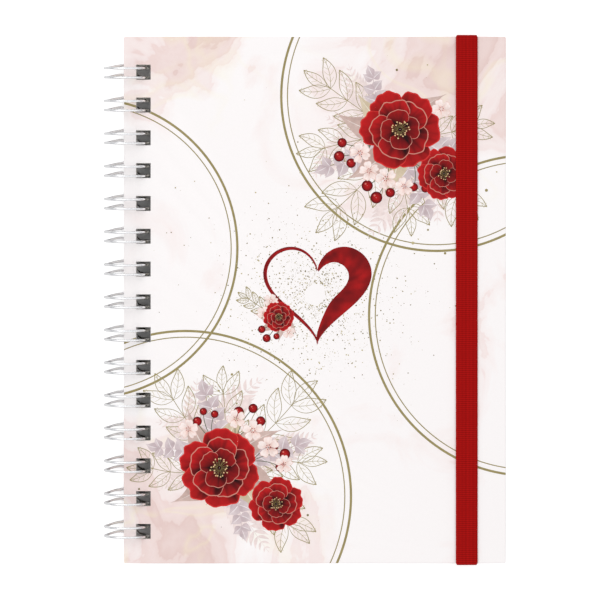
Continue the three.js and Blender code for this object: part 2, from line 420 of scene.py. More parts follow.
def readSlots():
    # the slots for the elastic stand round the parts of its ends that rise through the back cover
    found = {}
    room = cover["slotRoom"]
    for node, side in (("elastic_end_head", 1), ("elastic_end_tail", -1)):
        low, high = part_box(node)
        corners = np.array([v.co for v in frame["nodes"][node].data.vertices])
        outside = corners[corners[:, 2] < backLow.z - cover["standsOut"]]
        riser = outside[:, 1].min() if side > 0 else outside[:, 1].max()
        ends = sorted((riser - side * room, riser + side * (cover["slottedStrip"] + room)))
        found[node] = ((low.x - room, ends[0]), (high.x + room, ends[1]))
    return found


laminatedPrint = makeLaminatedPrint()
# bookbinding board: recycled fibre, matt and flecked, seen only on cut edges
greyboard = makeGrained(
    "greyboard", {"Roughness": 0.95, "Specular IOR Level": 0.2},
    size=0.5 * mm, detail=5.0, roughness=0.7, strength=0.5, depth=0.06 * mm,
    stops=[(0.3, "#6f6a62"), (0.5, "#8b857b"), (0.72, "#a9a295")],
)
# heavier uncoated paper pasted over the board's inner face, with a soft laid grain
liningPaper = makeGrained(
    "liningPaper", {"Roughness": 0.8, "Specular IOR Level": 0.25},
    size=1.2 * mm, detail=6.0, roughness=0.65, strength=0.2, depth=0.03 * mm,
    stops=[(0.3, "#f1e9e5"), (0.7, "#f9f4f1")],
)
slots = readSlots()
buildCover("front", frontLow, frontHigh)
buildCover("back", backLow, backHigh, slots.values())
print("covers built")


# Leaves: one sheet is modelled, and each leaf is a copy of it, a little out of line

leaves = {
    "bundles": 4,
    "perBundle": 6,
    "sheetThickness": 0.078 * mm,
    "outOfLine": 0.09 * mm,
    "seed": 7,
}

ruling = {
    "spacing": 7 * mm,
    "halfWidth": 0.11 * mm,
    "headRoom": 20 * mm,
    "fromHoles": 3 * mm,
    "colour": "#c3c8d0",
}


def makeLeafPaper():
    # uncoated writing paper, ruled in pale grey: soft, matt and faintly mottled
    material, tree = newMaterial("writingPaper")
    paper = grained(
        tree, size=3 * mm, detail=6.0, roughness=0.6, strength=0.15, depth=0.03 * mm,
        stops=[(0.3, "#f3f0e8"), (0.7, "#faf8f2")],
    )
    place = addNode(tree, "TexCoord").outputs["Object"]
    axes = addNode(tree, "SeparateXYZ", inputs={"Vector": place}).outputs
    normal = addNode(tree, "NewGeometry").outputs["True Normal"]
    upward = addNode(tree, "SeparateXYZ", inputs={"Vector": normal}).outputs["Z"]
    fromLine = addNode(tree, "Math", {"operation": "PINGPONG"}, {
        0: axes["Y"], 1: ruling["spacing"] / 2,
    })
    ruled = 1.0
    for operation, value, limit in (
        ("LESS_THAN", fromLine, ruling["halfWidth"]),
        ("LESS_THAN", axes["Y"], frontHigh.y - ruling["headRoom"]),
        ("GREATER_THAN", axes["X"], punching["far"] + ruling["fromHoles"]),
        ("ABSOLUTE", upward, 0.0),
    ):
        here = addNode(tree, "Math", {"operation": operation}, {0: value, 1: limit})
        ruled = addNode(tree, "Math", {"operation": "MULTIPLY"}, {0: here, 1: ruled})
    paper["Base Color"] = addNode(tree, "Mix", {"data_type": "RGBA"}, {
        "Factor": ruled, 6: paper["Base Color"], 7: toLinear(ruling["colour"]),
    }).outputs[2]
    finishMaterial(tree, {**paper, "Roughness": 0.85, "Specular IOR Level": 0.2})
    return material


def buildSheet(low, high):
    sheet = boxBetween(low, (high.x, high.y, low.z + leaves["sheetThickness"]))
    punch(sheet, low, high)
    dress(sheet, makeLeafPaper())
    return sheet


def buildLeaves():
    picker = random.Random(leaves["seed"])
    outOfLine = leaves["outOfLine"]
    sheetLow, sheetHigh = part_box("back_leaves_1")
    sheet = buildSheet(sheetLow, sheetHigh)
    for section in ("back", "middle", "front"):
        for number in range(1, leaves["bundles"] + 1):
            node = f"{section}_leaves_{number}"
            low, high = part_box(node)
            pitch = (high.z - low.z) / leaves["perBundle"]
            copies = []
            for i in range(leaves["perBundle"]):
                leaf = addObject(f"{section}LeafSheets{number}", sheet.data.copy())
                leaf.location = (
                    picker.uniform(-1, 1) * outOfLine,
                    picker.uniform(-1, 1) * outOfLine,
                    low.z - sheetLow.z + i * pitch,
                )
                copies.append(leaf)
            makeActive(*copies)
            bpy.ops.object.transform_apply(location=True, rotation=True, scale=True)
            bpy.ops.object.join()
            settle(copies[0], f"{section}_leaves", [node])
    bpy.data.objects.remove(sheet)


buildLeaves()
print("leaves built")


# Twin-loop wire: a row of hairpins joined along the seam, each bent once round the punched edge

wire = {
    "thickness": 1.0 * mm,
    "radius": 8.522 * mm,            # of the loops, at the wire's middle line
    "spacing": 3.6 * mm,             # between the two legs of a hairpin, then at its tip and root
    "tipSpacing": 2.5 * mm,
    "rootSpacing": 5.5 * mm,
    "rootBend": 1.1 * mm,
    "tipOvershoot": 0.6 * mm,
    "flare": 4.5 * mm,
    "lean": 0.9 * mm,
    "rearLean": 0.9 * mm,            # more lean behind and under, where no hole comes along
    "rearLeanFull": 4 * mm,
    "rearLeanEnd": 12 * mm,
    "tipLeanLength": 3.4 * mm,
    "endLength": 1.5 * mm,
    "seamAngle": -78,                # degrees
    "legSteps": 46,
    "bendSteps": 7,
    "roundness": 4,
    "smoothTo": 50,                  # degrees
}


def smooth(value, start, end):
    t = min(max((value - start) / (end - start), 0), 1)
    return t * t * (3 - 2 * t)


def wireRoute():
    # a hairpin is laid out flat, as lengths along the wire and across it, then the row is rolled up
    radius, rootBend, bendSteps = wire["radius"], wire["rootBend"], wire["bendSteps"]
    tipRadius = wire["tipSpacing"] / 2
    tipStart = 2 * math.pi * radius + wire["tipOvershoot"] - tipRadius

    def legOffset(along):
        widening = 1 - smooth(along, rootBend, wire["flare"])
        narrowing = smooth(along, tipStart - wire["flare"], tipStart)
        spacing = (wire["spacing"] + widening * (wire["rootSpacing"] - wire["spacing"])
                   - narrowing * (wire["spacing"] - wire["tipSpacing"]))
        return spacing / 2

    def rearLean(along):
        behind = 1 - smooth(along, wire["rearLeanFull"], wire["rearLeanEnd"])
        under = smooth(along, tipStart - wire["tipLeanLength"], tipStart)
        return wire["rearLean"] * (behind + under)

    rootOffset = legOffset(0) + rootBend
    leg = []
    for i in range(bendSteps):
        turn = i / bendSteps * math.pi / 2
        leg.append((rootBend * (1 - math.cos(turn)), rootBend * math.sin(turn) - rootOffset))
    for i in range(wire["legSteps"] + 1):
        along = rootBend + (tipStart - rootBend) * i / wire["legSteps"]
        leg.append((along, -legOffset(along)))
    tip = []
    for i in range(1, 2 * bendSteps):
        turn = i / (2 * bendSteps) * math.pi
        tip.append((tipStart + tipRadius * math.sin(turn), -tipRadius * math.cos(turn)))
    hairpin = leg + tip + [(along, -across) for along, across in reversed(leg)]

    flat = []
    for bottom, top in punching["rows"]:
        flat += [(along, (bottom + top) / 2 + across) for along, across in hairpin]
    flat.insert(0, (0, flat[0][1] - wire["endLength"]))
    flat.append((0, flat[-1][1] + wire["endLength"]))
    route = []
    for along, across in flat:
        angle = math.radians(wire["seamAngle"]) - along / radius
        route.append((
            spineHinge.x + radius * math.cos(angle),
            across + rearLean(along) - wire["lean"] / 2 * math.sin(angle),
            spineHinge.z + radius * math.sin(angle),
        ))
    return route


def buildWire():
    route = wireRoute()
    data = bpy.data.curves.new("twinLoopWire", "CURVE")
    data.dimensions = "3D"
    data.bevel_depth = wire["thickness"] / 2
    data.bevel_resolution = wire["roundness"]
    data.use_fill_caps = True
    spline = data.splines.new("POLY")
    spline.points.add(len(route) - 1)
    for point, place in zip(spline.points, route):
        point.co = (*place, 1)
    makeActive(addObject("twinLoopWire", data))
    bpy.ops.object.convert(target="MESH")
    made = bpy.context.object
    shadeSmooth(made, wire["smoothTo"])
    dress(made, silverWire)
    settle(made, "back_cover", ["twin_loop_wire"])


# nickel-plated steel wire, drawn and bright: mirror-like with faint drawing marks
silverWire = makeGrained(
    "nickelPlatedWire", {"Metallic": 1.0, "Roughness": 0.22},
    size=0.7 * mm, detail=3.0, roughness=0.5, strength=0.05, depth=0.01 * mm,
    stops=[(0.3, "#eeeef0"), (0.7, "#fbfbfc")],
)
buildWire()
print("wire bent")


# Elastic: one ribbed strip swept in the YZ plane, pinched a little where it turns over an edge

elastic = {
    "thickness": 0.5 * mm,
    "ribPitch": 0.75 * mm,
    "ribDepth": 0.045 * mm,
    "ribInset": 0.02 * mm,           # what the sides draw in between two ribs
    "cordPitch": 1.4 * mm,
    "cordDepth": 0.02 * mm,
    "threadSize": 0.35 * mm,
    "streakWidth": 1.1 * mm,
    "stepsPerRib": 4,
    "columns": 19,
    "sideSteps": 5,
    "bendRadius": 0.75 * mm,
    "bendSteps": 8,
    "drawIn": 0.6 * mm,              # what each side draws in where the strip turns over the edge
    "drawInLength": 1.1 * mm,
    "drawInAtEdge": 0.55,
    "shortOfEnds": 0.02 * mm,
    "smoothTo": 50,                  # degrees
}


def makeElastic():
    # woven elastic, polyester over rubber threads: a rib across at each pick, and a soft sheen
    material, tree = newMaterial("wovenElastic")
    along, across = (
        addNode(tree, "Attribute", {"attribute_name": name}).outputs["Fac"]
        for name in ("along", "across")
    )
    scaled = [
        addNode(tree, "Math", {"operation": "MULTIPLY"}, {0: value, 1: factor})
        for value, factor in (
            (along, 2 * math.pi / elastic["ribPitch"]),
            (across, 2 * math.pi / elastic["cordPitch"]),
            (across, 1 / elastic["streakWidth"]),
        )
    ]
    ribs, cords = (addNode(tree, "Math", {"operation": "SINE"}, {0: turn}) for turn in scaled[:2])
    streak = addNode(tree, "TexNoise", {"noise_dimensions": "1D"}, {
        "W": scaled[2], "Scale": 1.0, "Detail": 2.0,
    })
    threads = addNode(tree, "TexNoise", inputs={
        "Vector": addNode(tree, "TexCoord").outputs["Object"],
        "Scale": 1 / elastic["threadSize"], "Detail": 4.0, "Roughness": 0.7,
    })
    levels = [0.3]
    for part, share in ((ribs, 0.16), (threads, 0.3), (streak, 0.22), (cords, 0.04)):
        levels.append(addNode(tree, "Math", {"operation": "MULTIPLY_ADD"}, {
            0: part, 1: share, 2: levels[-1],
        }))
    colour = addNode(tree, "ValToRGB", inputs={"Fac": levels[-1]}, stops=[
        (0.2, "#6b0607"), (0.5, "#990c0b"), (0.8, "#b2120f"),
    ])
    relief = addNode(tree, "Bump", inputs={
        "Strength": 0.5, "Distance": 0.06 * mm, "Height": levels[2],
    })
    finishMaterial(tree, {
        "Base Color": colour, "Normal": relief, "Roughness": 0.72, "Specular IOR Level": 0.05,
        "Sheen Weight": 0.01, "Sheen Roughness": 0.4, "Sheen Tint": toLinear("#ff5a50"),
    })
    return material


def roundedRoute(corners):
    # straight runs between corners, with an arc at each inner corner
    radius, steps = elastic["bendRadius"], elastic["bendSteps"]
    points = [np.array(c, float) for c in corners]
    route = [points[0]]
    for before, here, after in zip(points, points[1:], points[2:]):
        toBefore = (before - here) / np.linalg.norm(before - here)
        toAfter = (after - here) / np.linalg.norm(after - here)
        middle = here + radius * (toBefore + toAfter)
        for i in range(steps + 1):
            turn = i / steps * math.pi / 2
            route.append(middle - radius * (toAfter * math.cos(turn) + toBefore * math.sin(turn)))
    route.append(points[-1])
    return np.array(route)


def evenSteps(route, step):
    lengths = np.linalg.norm(np.diff(route, axis=0), axis=1)
    along = np.concatenate(([0], np.cumsum(lengths)))
    count = int(round(along[-1] / step))
    stops = np.linspace(0, along[-1], count + 1)
    return np.stack([np.interp(stops, along, route[:, i]) for i in (0, 1)], axis=1), stops


def stripSection(halfWidth, half):
    # across and out: flat top and bottom with round sides
    straight = halfWidth - half
    flat = np.linspace(-straight, straight, elastic["columns"])
    points = []
    for side in (1, -1):
        points += [(x, side * half) for x in flat[::side]]
        for i in range(1, elastic["sideSteps"]):
            turn = side * math.pi / 2 - i / elastic["sideSteps"] * math.pi
            points.append((side * straight + half * math.cos(turn), half * math.sin(turn)))
    return np.array(points)


def sweepStrip(route, stops, halfWidth, middleX, drawnIn):
    # the section at each step of the route, with how far along and across each corner lies
    tangents = np.gradient(route, axis=0)
    tangents /= np.linalg.norm(tangents, axis=1)[:, None]
    normals = np.stack([-tangents[:, 1], tangents[:, 0]], axis=1)
    section = stripSection(halfWidth, elastic["thickness"] / 2)
    ribs = np.cos(2 * math.pi * stops / elastic["ribPitch"])
    verts, along, across = [], [], []
    for place, normal, stop, rib, inset in zip(route, normals, stops, ribs, drawnIn):
        narrow = 1 - inset / halfWidth
        for x, out in section:
            cords = math.cos(2 * math.pi * x / elastic["cordPitch"]) * elastic["cordDepth"]
            raised = out * (1 + (rib * elastic["ribDepth"] + cords) / elastic["thickness"])
            wide = x * narrow - math.copysign(elastic["ribInset"], x) * (1 - rib)
            verts.append((middleX + wide, *(place + normal * raised)))
            along.append(stop)
            across.append(x)
    count, rings = len(section), len(route)
    faces = []
    for i in range(rings - 1):
        for j in range(count):
            k = (j + 1) % count
            faces.append((i * count + j, i * count + k, (i + 1) * count + k, (i + 1) * count + j))
    faces.append(tuple(range(count))[::-1])
    faces.append(tuple((rings - 1) * count + j for j in range(count)))
    return verts, faces, along, across


def buildStrip(name, corners, lowX, highX, body, node, drawsIn):
    step = elastic["ribPitch"] / elastic["stepsPerRib"]
    route, stops = evenSteps(roundedRoute(corners), step)
    pastEdge = (np.abs(route[:, 0]) - frontHigh.y) / elastic["drawInLength"]
    overEdge = np.clip(pastEdge + elastic["drawInAtEdge"], 0, 1)
    drawnIn = (1 - np.sqrt(1 - overEdge ** 2)) * elastic["drawIn"] * drawsIn
    verts, faces, along, across = sweepStrip(
        route, stops, (highX - lowX) / 2, (lowX + highX) / 2, drawnIn,
    )
    mesh = bpy.data.meshes.new(name)
    mesh.from_pydata(verts, [], faces)
    for attribute, values in (("along", along), ("across", across)):
        stored = mesh.attributes.new(attribute, "FLOAT", "POINT")
        stored.data.foreach_set("value", values)
    strip = addObject(name, mesh)
    makeActive(strip)
    bpy.ops.object.mode_set(mode="EDIT")
    bpy.ops.mesh.select_all(action="SELECT")
    bpy.ops.mesh.normals_make_consistent(inside=False)
    bpy.ops.object.mode_set(mode="OBJECT")
    shadeSmooth(strip, elastic["smoothTo"])
    dress(strip, wovenElastic)
    settle(strip, body, [node])
    return strip


def buildElastic():
    half = elastic["thickness"] / 2
    edgeY = bandHigh.y - half
    lowZ, highZ = bandLow.z + half, bandHigh.z - half
    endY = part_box("elastic_end_head")[1].y
    bandEnd = endY + elastic["shortOfEnds"]
    band = buildStrip("elasticBand", [
        (-bandEnd, lowZ), (-edgeY, lowZ), (-edgeY, highZ),
        (edgeY, highZ), (edgeY, lowZ), (bandEnd, lowZ),
    ], bandLow.x, bandHigh.x, "elastic_band", "elastic_band", drawsIn=1)
    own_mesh(band)
    for node, side in (("elastic_end_head", 1), ("elastic_end_tail", -1)):
        low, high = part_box(node)
        riserY = (slots[node][0][1] + slots[node][1][1]) / 2
        tuckedTip = low.y if side > 0 else high.y
        buildStrip(node.replace("elastic_end", "elasticEnd"), [
            (side * endY, low.z + half), (riserY, low.z + half),
            (riserY, high.z - half), (tuckedTip, high.z - half),
        ], low.x, high.x, "back_cover", node, drawsIn=0)


wovenElastic = makeElastic()
buildElastic()
print("elastic woven")


# The print on the front cover. Its shapes are painted over each other, in millimetres from the
# cover's lower corner at the spine. They are then cut along each other into one thin sheet, which
# shows at each spot the last shape painted there.

page = {
    "width": (frontHigh.x - frontLow.x) / mm,
    "height": (frontHigh.y - frontLow.y) / mm,
    "edge": 0.1,                     # left bare along the cover's edges
    "holeRoom": 0.06,                # left bare round the holes
    "beyond": 60,                    # further than any shape reaches past the page
    "fold": cover["foldRadius"] / mm,
    "foldLines": (0.3, 0.55, 0.8, 1.0),     # where the sheet bends over the fold, as shares of it
    "lift": 0.012,                   # of the ink above the paper
    "joinCloserThan": 1e-5,
    "thinnest": 0.003,               # thinner slivers are dropped
    "slack": 0.01,                   # the share of a triangle by which a face's middle may miss it
    "spot": 0.08,                    # of the grid that tells what can be seen
    "smoothTo": 35,                  # degrees
}

inks = {
    "crimsonNight": "#240305", "crimsonDeep": "#43060a", "crimsonDark": "#700c10",
    "crimson": "#9a1214", "crimsonBright": "#bb171a", "crimsonLight": "#d0322f",
    "crimsonRim": "#cf8a7c", "stamen": "#e3c08e", "stemGreen": "#5f6650",
    "blush": "#f7e1da", "blushDeep": "#e8bdb2", "blushPale": "#fdf1ee",
    "taupe": "#d4bbb3", "taupeDark": "#b99a90", "taupePale": "#e8dad4",
    "sand": "#dccdb4", "sandDark": "#c0ab8b", "sandPale": "#efe6d6",
    "mauve": "#ded0d2", "mauveDark": "#c6b3b7", "mauvePale": "#efe6e8",
    "frond": "#efdedb", "gold": "#9c8f62", "goldPale": "#c2b68c", "goldDark": "#7d7146",
}

plateNames = ["cutAway", "leaves", "gold", "flowers"]
painting = {"points": [], "inks": [], "triangles": [], "plates": [], "count": 0}


def makeInk(name, roughness):
    # printing ink under the same film: the colour of each shape is stored on its corners
    material, tree = newMaterial(name)
    printed = addNode(tree, "Attribute", {"attribute_name": "ink"}).outputs["Color"]
    colour, _ = mottled(tree, printed, size=1.6 * mm, detail=4.0, least=0.9, most=1.08)
    finishMaterial(tree, {
        "Base Color": colour, "Roughness": roughness, "Specular IOR Level": 0.12,
    })
    return material


# Painting shapes, and cutting them into one sheet

def addGrid(plate, points, colours):
    # a shape of rows and columns of points, each with its colour
    rows, columns = points.shape[:2]
    index = np.arange(rows * columns).reshape(rows, columns) + painting["count"]
    a, b, c, d = index[:-1, :-1], index[1:, :-1], index[1:, 1:], index[:-1, 1:]
    triangles = np.concatenate([
        np.stack(half, axis=-1).reshape(-1, 3) for half in ((a, b, c), (a, c, d))
    ])
    painting["points"].append(points.reshape(-1, 2))
    painting["inks"].append(np.broadcast_to(colours, (rows, columns, 3)).reshape(-1, 3))
    painting["triangles"].append(triangles)
    painting["plates"].append(np.full(len(triangles), plateNames.index(plate)))
    painting["count"] += rows * columns


def cutRectangle(left, right, bottom, top):
    corners = [[(left, bottom), (right, bottom)], [(left, top), (right, top)]]
    addGrid("cutAway", np.array(corners, float), np.zeros(3))


def cutPage():
    # nothing is printed over the holes or past the cover's edges
    beyond, edge, room = page["beyond"], page["edge"], page["holeRoom"]
    for bottom, top in punching["rows"]:
        cutRectangle(
            (punching["near"] - frontLow.x) / mm - room, (punching["far"] - frontLow.x) / mm + room,
            (bottom - frontLow.y) / mm - room, (top - frontLow.y) / mm + room,
        )
    right, head = page["width"] + beyond, page["height"] + beyond
    cutRectangle(-beyond, edge, -beyond, head)
    cutRectangle(page["width"] - edge, right, -beyond, head)
    cutRectangle(-beyond, right, -beyond, edge)
    cutRectangle(-beyond, right, page["height"] - edge, head)


def foldLines():
    # lines along the cover's edges, at which the sheet bends down over the fold
    points, edges = [], []
    for share in page["foldLines"]:
        inset = share * page["fold"]
        left, right, low, high = inset, page["width"] - inset, inset, page["height"] - inset
        first = len(points)
        points += [(left, low), (right, low), (right, high), (left, high)]
        edges += [(first + i, first + (i + 1) % 4) for i in range(4)]
    return points, edges


def cross(first, second):
    return first[..., 0] * second[..., 1] - first[..., 1] * second[..., 0]


def turnedUp(points, triangles):
    # the same triangles, all listed anticlockwise, and which of them are wide enough to keep
    a, b, c = (points[triangles[:, i]] for i in range(3))
    doubleArea = cross(b - a, c - a)
    triangles = np.where((doubleArea < 0)[:, None], triangles[:, ::-1], triangles)
    corners = points[triangles]
    longest = np.linalg.norm(corners - np.roll(corners, 1, axis=1), axis=2).max(axis=1)
    return triangles, np.abs(doubleArea) > page["thinnest"] * longest


def inSight(points, triangles):
    # painting them in order on a grid of fine spots tells which triangles can still be seen
    spot = page["spot"]
    size = (round(page["width"] / spot), round(page["height"] / spot))
    lastPainted = np.full(size, -1)
    corners = points[triangles] / spot - 0.5
    starts = np.clip(np.ceil(corners.min(axis=1)), 0, size).astype(int)
    ends = np.clip(np.floor(corners.max(axis=1)) + 1, 0, size).astype(int)
    for i, ((left, low), (right, high)) in enumerate(zip(starts, ends)):
        if right > left and high > low:
            x, y = np.arange(left, right)[:, None], np.arange(low, high)[None, :]
            inside = np.ones((right - left, high - low), bool)
            for (ax, ay), (bx, by) in zip(corners[i], np.roll(corners[i], -1, axis=0)):
                inside &= (bx - ax) * (y - ay) >= (by - ay) * (x - ax)
            lastPainted[left:right, low:high][inside] = i
    seen = np.zeros(len(triangles), bool)
    seen[lastPainted[lastPainted >= 0]] = True
    nearest = np.clip(np.rint(corners.mean(axis=1)), 0, np.array(size) - 1).astype(int)
    return seen | (lastPainted[nearest[:, 0], nearest[:, 1]] <= np.arange(len(triangles)))


def barycentric(corners, spots):
    # how far each spot lies towards each corner of its triangle
    a, b, c = (corners[:, None, i] for i in range(3))
    whole = cross(b - a, c - a)
    toB, toC = cross(spots - a, c - a) / whole, cross(b - a, spots - a) / whole
    return np.stack([1 - toB - toC, toB, toC], axis=-1)


def cutAlongEachOther(points, triangles):
    # the small faces that all the shapes' edges make, and for each the last triangle painted there
    used, compact = np.unique(triangles, return_inverse=True)
    bends, edges = foldLines()
    corners = [Vector(p) for p in points[used].tolist() + bends]
    edges = [(a + len(used), b + len(used)) for a, b in edges]
    verts, _, faces, _, _, sources = delaunay_2d_cdt(
        corners, edges, compact.reshape(-1, 3).tolist(), 1, page["joinCloserThan"], True,
    )
    verts, faces = np.array([tuple(v) for v in verts]), np.array(faces)
    where = np.repeat(np.arange(len(faces)), [len(source) for source in sources])
    painted = np.array([i for source in sources for i in source])
    middles = verts[faces[where]].mean(axis=1)[:, None]
    covering = barycentric(points[triangles[painted]], middles)
    real = covering.min(axis=(1, 2)) > -page["slack"]
    last = np.full(len(faces), -1)
    np.maximum.at(last, where[real], painted[real])
    return verts, faces[last >= 0], last[last >= 0]


def mixInks(corners, colours, spots):
    weights = np.clip(barycentric(corners, spots), 0, 1)
    weights /= weights.sum(axis=-1, keepdims=True)
    return np.einsum("fki,fic->fkc", weights, colours)


def sheetHeight(verts):
    # flat on the cover, and bent down with the fold at its edges
    reach = page["fold"]
    fromSide = np.minimum(verts[:, 0], page["width"] - verts[:, 0])
    fromEnd = np.minimum(verts[:, 1], page["height"] - verts[:, 1])
    over = np.hypot(np.clip(reach - fromSide, 0, None), np.clip(reach - fromEnd, 0, None))
    return np.sqrt(np.clip(reach ** 2 - over ** 2, 0, None)) - reach + page["lift"]


def finishPlate(name, material, verts, faces, colours):
    used, compact = np.unique(faces, return_inverse=True)
    points = np.column_stack([verts[used], sheetHeight(verts[used])]) * mm
    points += np.array([frontLow.x, frontLow.y, frontHigh.z])
    mesh = bpy.data.meshes.new(name)
    mesh.from_pydata(points.tolist(), [], compact.reshape(-1, 3).tolist())
    stored = mesh.color_attributes.new("ink", "FLOAT_COLOR", "CORNER")
    corners = colours.reshape(-1, 3)
    rgba = np.column_stack([corners, np.ones(len(corners))])
    stored.data.foreach_set("color", rgba.reshape(-1).astype(np.float32))
    piece = addObject(name, mesh)
    shadeSmooth(piece, page["smoothTo"])
    dress(piece, material)
    settle(piece, "front_cover")
    print(name, len(mesh.polygons), "faces")


def layFlat():
    points, colours, triangles, plates = (
        np.concatenate(painting[part]) for part in ("points", "inks", "triangles", "plates")
    )
    triangles, wide = turnedUp(points, triangles)
    kept = np.flatnonzero(wide)
    kept = kept[inSight(points, triangles[kept])]
    verts, faces, top = cutAlongEachOther(points, triangles[kept])
    faces, wide = turnedUp(verts, faces)
    faces, source = faces[wide], kept[top[wide]]
    mixed = mixInks(points[triangles[source]], colours[triangles[source]], verts[faces])
    for plate, name, material in (
        ("leaves", "printedLeaves", makeInk("printedInk", 0.45)),
        ("gold", "printedGoldLines", makeInk("printedGold", 0.42)),
        ("flowers", "printedFlowers", makeInk("printedCrimson", 0.45)),
    ):
        shown = plates[source] == plateNames.index(plate)
        finishPlate(name, material, verts, faces[shown], mixed[shown])


# Lines and simple shapes

lines = {                            # widths in mm, from the start to the end of the stroke
    "ring": 0.9,
    "innerRing": 0.4,
    "sprigStem": 0.24,
    "midrib": 0.16,
    "leafEdge": (0.16, 0.3),
    "vein": 0.12,
    "roundStem": (0.4, 0.15),
    "frondStem": (0.35, 0.12),
    "berryStem": 0.28,
}


def ink(name):
    return np.array(toLinear(inks[name])[:3])


def blend(first, second, amount):
    amount = np.clip(amount, 0, 1)[..., None]
    return first * (1 - amount) + second * amount


def pointAt(start, heading, length):
    return np.array(start, float) + length * np.array([math.cos(heading), math.sin(heading)])


def around(centre, distance, angle):
    return np.stack([
        centre[0] + distance * np.cos(angle), centre[1] + distance * np.sin(angle),
    ], axis=-1)


def sidesOf(path):
    ahead = np.gradient(path, axis=0)
    ahead /= np.maximum(np.linalg.norm(ahead, axis=1), 1e-9)[:, None]
    return np.stack([-ahead[:, 1], ahead[:, 0]], axis=1)


def headingAt(path, i):
    return math.atan2(path[i][1] - path[i - 1][1], path[i][0] - path[i - 1][0])


def bowed(start, end, bow, count=16):
    # a path from start to end that bows to its left by a share of its length
    start, end = np.array(start, float), np.array(end, float)
    t = np.linspace(0, 1, count)[:, None]
    side = np.array([-(end - start)[1], (end - start)[0]])
    return start + (end - start) * t + side * bow * 4 * t * (1 - t)


def drawStroke(plate, path, widths, tone):
    # a line along a path: of one width, of two from start to end, or of one for each point
    path = np.array(path, float)
    if isinstance(widths, tuple):
        widths = np.linspace(*widths, len(path))
    half = np.broadcast_to(np.asarray(widths, float) / 2, (len(path),))[:, None]
    side = sidesOf(path) * half
    addGrid(plate, np.stack([path + side, path - side]), ink(tone))


def drawDisc(centre, radius, inner, outer, sides=20):
    u = np.array([0.04, 0.5, 0.85, 1.0])[:, None]
    angle = np.linspace(0, 2 * math.pi, sides + 1)[None, :]
    addGrid("flowers", around(centre, radius * u, angle), blend(ink(inner), ink(outer), u ** 1.5))


def drawDot(plate, centre, radius, tone):
    angle = math.pi / 6 * np.array([[7, 9, 11], [5, 3, 1]])
    addGrid(plate, around(centre, radius, angle), ink(tone))


# Flowers

petal = {
    "fineFrom": 4.5,                 # mm: longer petals get the finer rows and columns
    "fineRows": (0.06, 0.25, 0.42, 0.58, 0.72, 0.84, 0.962, 0.97, 1.0),
    "fineColumns": 23,
    "plainRows": (0.08, 0.45, 0.9, 1.0),
    "plainColumns": 9,
    "waves": (0.008, 0.024),
    "folds": (0.05, 0.13),
    "rimFrom": 0.969,
    "light": 0.16,
    "lightFrom": 130,                # degrees
    "uneven": 0.09,                  # share of the way from one petal to the next
}

stamens = {                          # sizes are shares of the flower's radius
    "count": 22,
    "heart": 0.15,
    "foot": 0.05,
    "reach": (0.13, 0.24),
    "thread": 0.01,
    "tip": 0.02,
}

camelliaRings = (
    {"petals": 6, "turn": 0, "reach": 1, "spread": 0.72, "coveredTo": 0.5, "notch": 0.03,
     "shade": 0.62, "tones": ("crimsonNight", "crimson", "crimsonBright", "crimsonLight")},
    {"petals": 5, "turn": 0.5, "reach": 0.76, "spread": 0.86, "coveredTo": 0.42, "notch": 0.02,
     "shade": 0.6, "tones": ("crimsonNight", "crimsonDark", "crimsonBright", "crimsonRim")},
    {"petals": 4, "turn": 1.1, "reach": 0.5, "spread": 0.95, "coveredTo": 0.3, "notch": 0,
     "shade": 0.55, "tones": ("crimsonNight", "crimsonDark", "crimson", "crimsonRim")},
)

blossomRing = {
    "petals": 5, "turn": 0, "reach": 1, "spread": 0.62, "coveredTo": 0.1, "notch": 0.1,
    "shade": 0.3, "tones": ("blushDeep", "blush", "blushPale", "blushDeep"),
}


def drawPetal(centre, heading, reach, ring, picker):
    # rows run from the flower's heart to the petal's rim, columns from one side to the other;
    # it is darkest where the ring above covers it and beside the neighbour that laps over it
    grid = "fine" if reach > petal["fineFrom"] else "plain"
    u = np.array(petal[grid + "Rows"])[:, None]
    s = np.linspace(-1, 1, petal[grid + "Columns"])[None, :]
    wave = sum(
        picker.uniform(*petal["waves"])
        * np.sin(k * math.pi * s + picker.uniform(0, 2 * math.pi)) for k in (1, 2, 3, 5)
    )
    notch = ring["notch"] * np.exp(-((s / 0.17) ** 2))
    rim = reach * (1 - 0.4 * np.abs(s) ** 3.4 - notch + wave)
    angle = heading + s * ring["spread"] * (0.5 + 0.5 * np.sqrt(u))
    folds = sum(
        picker.uniform(*petal["folds"])
        * np.sin(k * s * math.pi + picker.uniform(0, 2 * math.pi) + 1.5 * u) for k in (2, 3, 5, 8)
    )
    lapped = np.clip((s - 0.05) / 0.6, 0, 1) ** 1.3
    lift = np.clip((u - ring["coveredTo"]) / (1 - ring["coveredTo"]), 0, 1)
    light = petal["light"] * np.cos(angle - math.radians(petal["lightFrom"]))
    shade = ring["shade"] * lapped * (1.15 - lift * 0.4)
    depth = lift ** 0.75 * (1 + folds) + light * lift - shade
    dark, middle, bright, edge = (ink(tone) for tone in ring["tones"])
    colours = blend(dark, middle, depth / 0.45)
    colours = blend(colours, bright, (depth - 0.45) / 0.6)
    colours = np.where((u > petal["rimFrom"])[..., None], edge, colours)
    addGrid("flowers", around(centre, rim * u, angle), colours)


def drawRing(centre, first, radius, ring, picker):
    count, reach = ring["petals"], radius * ring["reach"]
    for i in range(count):
        unevenly = picker.uniform(-petal["uneven"], petal["uneven"])
        heading = first + ring["turn"] + (i + unevenly) * 2 * math.pi / count
        drawPetal(centre, heading, reach, ring, picker)


